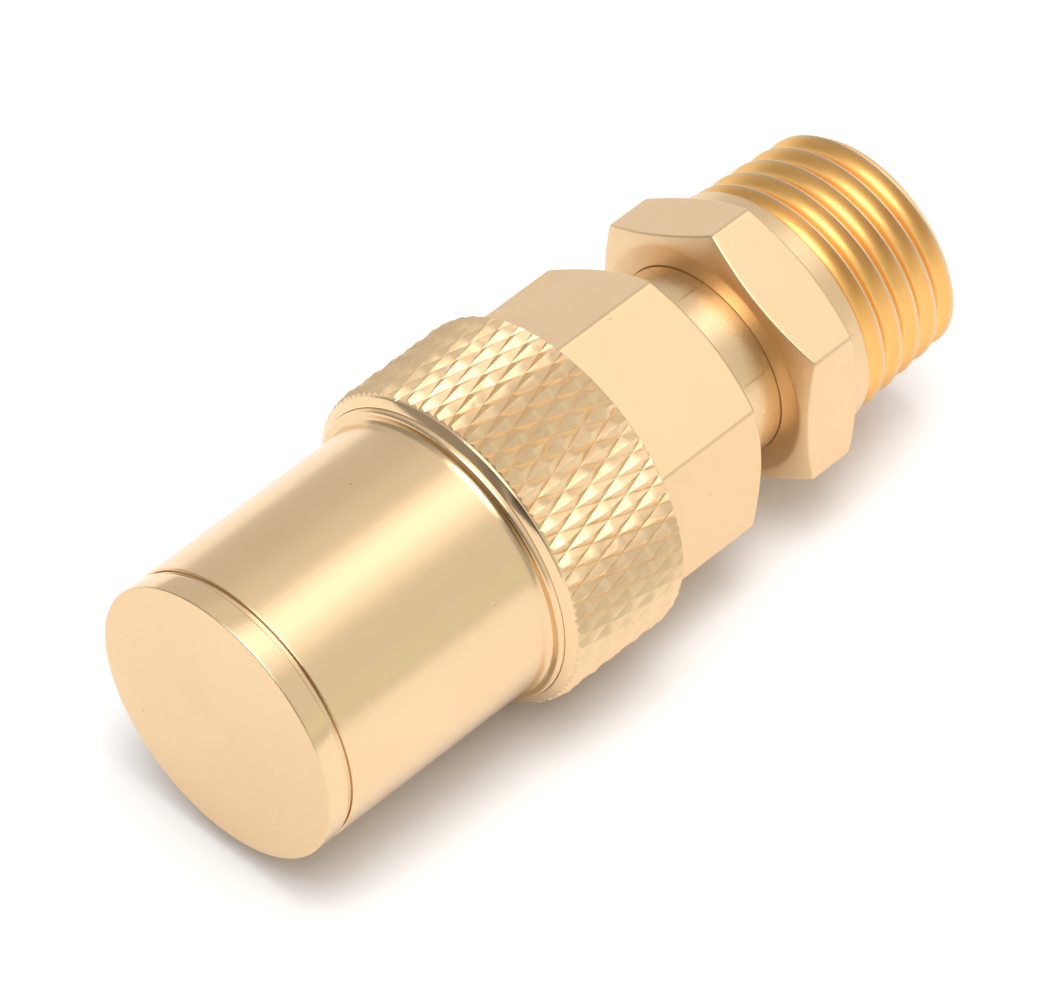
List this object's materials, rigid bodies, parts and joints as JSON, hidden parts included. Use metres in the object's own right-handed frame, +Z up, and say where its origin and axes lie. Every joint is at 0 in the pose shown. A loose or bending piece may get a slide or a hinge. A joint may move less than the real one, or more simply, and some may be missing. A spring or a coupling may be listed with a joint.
{
  "type": "automatic air vent",
  "caption": "Small screw-in automatic air vent: smooth brass chamber with a screw cap, knurled grip, spanner hexagon, and a shut-off adapter with hexagon and R 1/4 taper thread.",
  "frame": {"origin": "on the long axis, at half the overall length", "axes": "+X along the long axis towards the taper thread, -X towards the closed cap, +Z up with a hexagon corner at the top"},
  "size_m": [0.045, 0.018, 0.018],
  "materials": {
    "turned_brass": "satin turned brass with fine turning lines",
    "threaded_brass": "satin brass, deeper gold in the thread",
    "seal_rubber": "matt black EPDM rubber",
    "hygroscopic_fibre": "pressed cellulose fibre",
    "guide_plastic": "natural acetal",
    "spring_steel": "bright stainless steel"
  },
  "bodies": {
    "adapter": {"adapter": "threaded_brass", "check_spring": "spring_steel", "spring_retainer": "spring_steel"},
    "neck_ring": {"neck_seal": "seal_rubber"},
    "head": {"vent_body": "turned_brass", "chamber_sleeve": "turned_brass", "sleeve_seal": "seal_rubber", "seat_nozzle": "turned_brass", "seat_gasket": "seal_rubber", "stem_guide": "guide_plastic", "cage_clip": "spring_steel", "disc_cage": "guide_plastic", "thrust_plate": "turned_brass", "return_spring": "spring_steel"},
    "plunger": {"check_poppet": "turned_brass", "check_seal": "seal_rubber"},
    "stem": {"valve_stem": "turned_brass", "valve_pad": "seal_rubber", "pressure_plate": "turned_brass", "fibre_disc_1": "hygroscopic_fibre", "fibre_disc_2": "hygroscopic_fibre", "fibre_disc_3": "hygroscopic_fibre", "fibre_disc_4": "hygroscopic_fibre", "fibre_disc_5": "hygroscopic_fibre", "fibre_disc_6": "hygroscopic_fibre"},
    "cap_ring": {"cap_washer": "seal_rubber"},
    "cap": {"end_cap": "turned_brass"}
  },
  "joints": [
    {"name": "neck_travel", "type": "slide", "parent": "adapter", "child": "neck_ring", "axis": [-1, 0, 0], "range_m": [0, 0.001]},
    {"name": "head_turn", "type": "hinge", "parent": "neck_ring", "child": "head", "pos_m": [0, 0, 0], "axis": [-1, 0, 0], "range_deg": [0, 360]},
    {"name": "plunger_travel", "type": "slide", "parent": "adapter", "child": "plunger", "axis": [-1, 0, 0], "range_m": [0, 0.001], "deforming": ["check_spring"]},
    {"name": "stem_travel", "type": "slide", "parent": "head", "child": "stem", "axis": [1, 0, 0], "range_m": [0, 0.0006], "stiffness_N_per_m": 100, "springref_m": -0.001, "deforming": ["return_spring"]},
    {"name": "cap_travel", "type": "slide", "parent": "head", "child": "cap_ring", "axis": [-1, 0, 0], "range_m": [-0.0002, 0.0008]},
    {"name": "cap_turn", "type": "hinge", "parent": "cap_ring", "child": "cap", "pos_m": [0, 0, 0], "axis": [-1, 0, 0], "range_deg": [-90, 360]}
  ],
  "couplings": [
    {"joint": "neck_travel", "follows": "head_turn", "m_per_rad": 0.000159},
    {"joint": "plunger_travel", "follows": "head_turn", "m_per_rad": 0.000159},
    {"joint": "cap_travel", "follows": "cap_turn", "m_per_rad": 0.000127}
  ]
}
